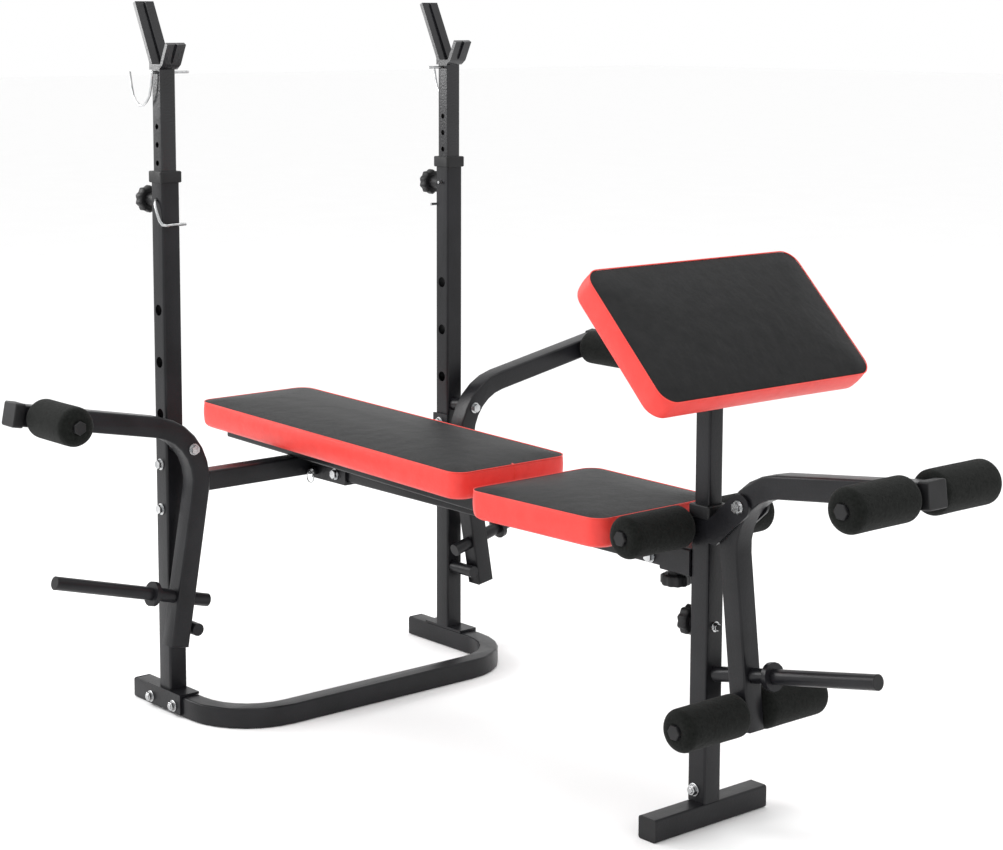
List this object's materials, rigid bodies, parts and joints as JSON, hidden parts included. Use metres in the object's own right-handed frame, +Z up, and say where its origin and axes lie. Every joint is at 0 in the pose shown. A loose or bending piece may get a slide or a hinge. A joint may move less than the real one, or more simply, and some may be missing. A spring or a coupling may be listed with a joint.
{
  "type": "adjustable weight bench",
  "caption": "Weight bench with a tilting backrest, barbell rack uprights, butterfly arms, a preacher curl pad and a leg developer on foam rollers.",
  "frame": {"origin": "on the floor under the middle of the overall box", "axes": "+Z up; +X from the head end towards the leg developer; +Y to the left of a person lying on the bench"},
  "size_m": [1.7233, 1.4196, 1.328],
  "materials": {
    "black_paint": "satin powder coat",
    "black_plastic": "moulded",
    "chrome": "plated",
    "black_foam": "matt foam",
    "red_vinyl": "black top, red sides, soft sheen",
    "board": "black cloth over plywood"
  },
  "bodies": {
    "frame": {"rear_base": "black_paint", "cross_beam": "black_paint", "main_beam": "black_paint", "main_beam_bolt": "chrome", "front_beam_bolt": "chrome", "back_hinge_bolt": "chrome", "seat_board": "board", "seat_pad": "red_vinyl", "front_post": "black_paint", "front_foot": "black_paint", "front_post_collar": "black_plastic", "leg_pivot_bolt": "chrome", "rear_base_plug_left": "black_plastic", "upright_left": "black_paint", "upright_collar_left": "black_plastic", "cross_beam_bolt_lower_left": "chrome", "cross_beam_bolt_upper_left": "chrome", "front_foot_plug_left": "black_plastic", "butterfly_pivot_bolt_left": "chrome", "rear_base_plug_right": "black_plastic", "upright_right": "black_paint", "upright_collar_right": "black_plastic", "cross_beam_bolt_lower_right": "chrome", "cross_beam_bolt_upper_right": "chrome", "front_foot_plug_right": "black_plastic", "butterfly_pivot_bolt_right": "chrome"},
    "rack_post_left": {"rack_post_left": "black_paint"},
    "safety_hook_left": {"safety_hook_left": "chrome"},
    "lock_pin_left": {"lock_pin_left": "chrome"},
    "rack_knob_left": {"rack_knob_left": "black_plastic"},
    "rack_post_right": {"rack_post_right": "black_paint"},
    "safety_hook_right": {"safety_hook_right": "chrome"},
    "lock_pin_right": {"lock_pin_right": "chrome"},
    "rack_knob_right": {"rack_knob_right": "black_plastic"},
    "curl_knob": {"curl_knob": "black_plastic"},
    "beam_knob": {"beam_knob": "black_plastic"},
    "pull_pin": {"pull_pin": "chrome"},
    "pull_ring": {"pull_ring": "chrome"},
    "backrest": {"back_frame": "black_paint", "back_board": "board", "back_pad": "red_vinyl"},
    "curl_rest": {"curl_post": "black_paint", "curl_board": "board", "curl_pad": "red_vinyl"},
    "leg_developer": {"leg_arm": "black_paint", "leg_arm_cap": "black_plastic", "lower_roller_bar": "black_paint", "end_roller_bar": "black_paint"},
    "seat_roller_left": {"seat_roller_left": "black_foam"},
    "seat_roller_right": {"seat_roller_right": "black_foam"},
    "lower_roller_left": {"lower_roller_left": "black_foam"},
    "lower_roller_right": {"lower_roller_right": "black_foam"},
    "end_roller_left": {"end_roller_left": "black_foam"},
    "end_roller_right": {"end_roller_right": "black_foam"},
    "butterfly_arm_left": {"butterfly_arm_left": "black_paint", "butterfly_cap_left": "black_plastic"},
    "butterfly_roller_left": {"butterfly_roller_left": "black_foam"},
    "butterfly_arm_right": {"butterfly_arm_right": "black_paint", "butterfly_cap_right": "black_plastic"},
    "butterfly_roller_right": {"butterfly_roller_right": "black_foam"}
  },
  "joints": [
    {"name": "rack_height_left", "type": "slide", "parent": "frame", "child": "rack_post_left", "axis": [0, 0, 1], "range_m": [0, 0.1002]},
    {"name": "hook_swing_left", "type": "hinge", "parent": "rack_post_left", "child": "safety_hook_left", "pos_m": [-0.64535, 0.3393, 1.199], "axis": [0, 1, 0], "range_deg": [-75, 180]},
    {"name": "lock_pin_pull_left", "type": "slide", "parent": "frame", "child": "lock_pin_left", "axis": [0, 1, 0], "range_m": [0, 0.05]},
    {"name": "rack_knob_turn_left", "type": "hinge", "parent": "frame", "child": "rack_knob_left", "pos_m": [-0.66435, 0.3393, 0.964], "axis": [1, 0, 0], "continuous": true},
    {"name": "rack_height_right", "type": "slide", "parent": "frame", "child": "rack_post_right", "axis": [0, 0, 1], "range_m": [0, 0.1002]},
    {"name": "hook_swing_right", "type": "hinge", "parent": "rack_post_right", "child": "safety_hook_right", "pos_m": [-0.64535, -0.3393, 1.199], "axis": [0, 1, 0], "range_deg": [-75, 180]},
    {"name": "lock_pin_pull_right", "type": "slide", "parent": "frame", "child": "lock_pin_right", "axis": [0, -1, 0], "range_m": [0, 0.05]},
    {"name": "rack_knob_turn_right", "type": "hinge", "parent": "frame", "child": "rack_knob_right", "pos_m": [-0.66435, -0.3393, 0.964], "axis": [1, 0, 0], "continuous": true},
    {"name": "curl_knob_turn", "type": "hinge", "parent": "frame", "child": "curl_knob", "pos_m": [0.39045, 0, 0.331], "axis": [1, 0, 0], "continuous": true},
    {"name": "beam_knob_turn", "type": "hinge", "parent": "frame", "child": "beam_knob", "pos_m": [0.33965, 0, 0.4085], "axis": [0, 0, 1], "continuous": true},
    {"name": "pull_pin_pull", "type": "slide", "parent": "frame", "child": "pull_pin", "axis": [0, -1, 0], "range_m": [0, 0.012], "stiffness_N_per_m": 600},
    {"name": "pull_ring_swing", "type": "hinge", "parent": "pull_pin", "child": "pull_ring", "pos_m": [-0.61335, -0.0385, 0.422], "axis": [1, 0, 0], "range_deg": [-90, 20]},
    {"name": "backrest_tilt", "type": "hinge", "parent": "frame", "child": "backrest", "pos_m": [-0.07335, 0, 0.4585], "axis": [0, 1, 0], "range_deg": [0, 30]},
    {"name": "curl_height", "type": "slide", "parent": "frame", "child": "curl_rest", "axis": [0, 0, 1], "range_m": [0, 0.1]},
    {"name": "leg_developer_swing", "type": "hinge", "parent": "frame", "child": "leg_developer", "pos_m": [0.49665, 0, 0.5415], "axis": [0, -1, 0], "range_deg": [0, 50]},
    {"name": "seat_roller_spin_left", "type": "hinge", "parent": "frame", "child": "seat_roller_left", "pos_m": [0.37845, 0.09, 0.4907], "axis": [0, 1, 0], "continuous": true},
    {"name": "seat_roller_spin_right", "type": "hinge", "parent": "frame", "child": "seat_roller_right", "pos_m": [0.37845, -0.09, 0.4907], "axis": [0, 1, 0], "continuous": true},
    {"name": "lower_roller_spin_left", "type": "hinge", "parent": "leg_developer", "child": "lower_roller_left", "pos_m": [0.50115, 0.09, 0.2088], "axis": [0, 1, 0], "continuous": true},
    {"name": "lower_roller_spin_right", "type": "hinge", "parent": "leg_developer", "child": "lower_roller_right", "pos_m": [0.50115, -0.09, 0.2088], "axis": [0, 1, 0], "continuous": true},
    {"name": "end_roller_spin_left", "type": "hinge", "parent": "leg_developer", "child": "end_roller_left", "pos_m": [0.82135, 0.09, 0.6117], "axis": [0, 1, 0], "continuous": true},
    {"name": "end_roller_spin_right", "type": "hinge", "parent": "leg_developer", "child": "end_roller_right", "pos_m": [0.82135, -0.09, 0.6117], "axis": [0, 1, 0], "continuous": true},
    {"name": "butterfly_swing_left", "type": "hinge", "parent": "frame", "child": "butterfly_arm_left", "pos_m": [-0.58235, 0.3393, 0.5115], "axis": [1, 0, 0], "range_deg": [0, 75]},
    {"name": "butterfly_roller_spin_left", "type": "hinge", "parent": "butterfly_arm_left", "child": "butterfly_roller_left", "pos_m": [-0.49535, 0.655, 0.608], "axis": [1, 0, 0], "continuous": true},
    {"name": "butterfly_swing_right", "type": "hinge", "parent": "frame", "child": "butterfly_arm_right", "pos_m": [-0.58235, -0.3393, 0.5115], "axis": [-1, 0, 0], "range_deg": [0, 75]},
    {"name": "butterfly_roller_spin_right", "type": "hinge", "parent": "butterfly_arm_right", "child": "butterfly_roller_right", "pos_m": [-0.49535, -0.655, 0.608], "axis": [1, 0, 0], "continuous": true}
  ]
}
